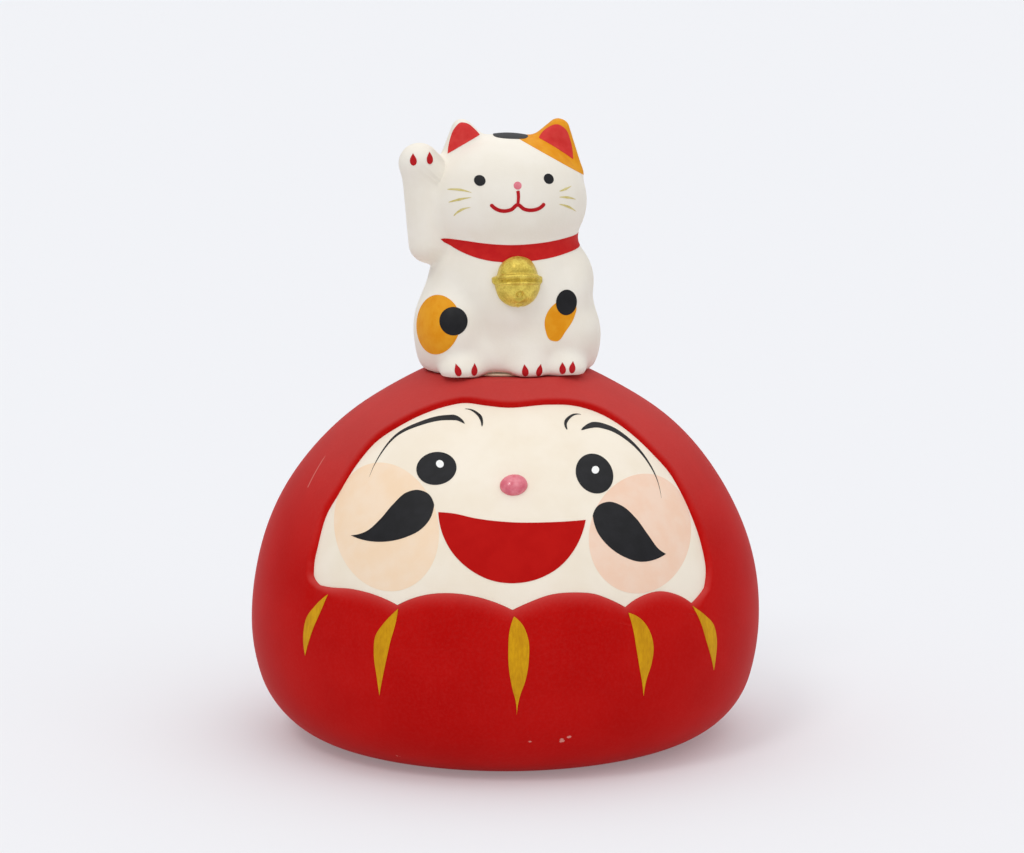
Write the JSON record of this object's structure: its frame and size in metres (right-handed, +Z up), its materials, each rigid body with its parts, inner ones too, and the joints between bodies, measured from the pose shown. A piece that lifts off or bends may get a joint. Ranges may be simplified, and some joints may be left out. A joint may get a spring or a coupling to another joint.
{
  "type": "daruma doll",
  "caption": "Round earthenware daruma doll with a smiling face, a scalloped robe with gilt pleats, and a beckoning cat that stands on its flat crown.",
  "frame": {"origin": "centre of the doll's flat foot, on the surface that it stands on", "axes": "+Z up; the doll faces -Y; +X is on the right for someone who faces it"},
  "size_m": [0.12, 0.1202, 0.1448],
  "materials": {
    "red_painted_clay": "matte red paint on slip-cast earthenware, fine grain, a little satin on the shoulders",
    "white_painted_clay": "matte off-white slip on earthenware",
    "bare_clay": "unglazed cream earthenware",
    "cream_paint": "matte cream ground, hand brushed",
    "peach_paint": "thin peach wash",
    "mouth_red_paint": "matte red paint",
    "red_paint": "matte red brush paint",
    "pink_paint": "satin pink paint",
    "black_paint": "matte ink-black paint",
    "white_paint": "satin white dot",
    "orange_paint": "matte orange paint",
    "yellow_ochre_paint": "thin pale yellow paint",
    "gilt_paint": "gold powder paint, semi-metallic, brushed on"
  },
  "bodies": {
    "daruma": {"brow_long_left": "black_paint", "brow_long_right": "black_paint", "brow_short_left": "black_paint", "brow_short_right": "black_paint", "cheek_left": "peach_paint", "cheek_right": "peach_paint", "daruma_shell": "red_painted_clay", "eye_glint_left": "white_paint", "eye_glint_right": "white_paint", "eye_left": "black_paint", "eye_right": "black_paint", "face_ground": "cream_paint", "mouth": "mouth_red_paint", "nose_bead": "pink_paint", "robe_pleat_1": "gilt_paint", "robe_pleat_2": "gilt_paint", "robe_pleat_3": "gilt_paint", "robe_pleat_4": "gilt_paint", "robe_pleat_5": "gilt_paint", "whisker_left": "black_paint", "whisker_right": "black_paint"},
    "cat": {"cat_bell": "gilt_paint", "cat_collar": "red_paint", "cat_eye_left": "black_paint", "cat_eye_right": "black_paint", "cat_foot_seal": "bare_clay", "cat_mouth": "red_paint", "cat_nose": "pink_paint", "cat_shell": "white_painted_clay", "cat_whiskers_left": "yellow_ochre_paint", "cat_whiskers_right": "yellow_ochre_paint", "claws_left": "red_paint", "claws_middle": "red_paint", "claws_raised": "red_paint", "claws_right": "red_paint", "crown_patch": "black_paint", "ear_patch": "orange_paint", "ear_red_left": "red_paint", "ear_red_right": "red_paint", "haunch_patch_left": "orange_paint", "haunch_patch_right": "orange_paint", "haunch_spot_left": "black_paint", "haunch_spot_right": "black_paint"}
  },
  "joints": [
    {"name": "cat_lift", "type": "slide", "parent": "daruma", "child": "cat", "axis": [0, 0, 1], "range_m": [0, 0.065]}
  ]
}
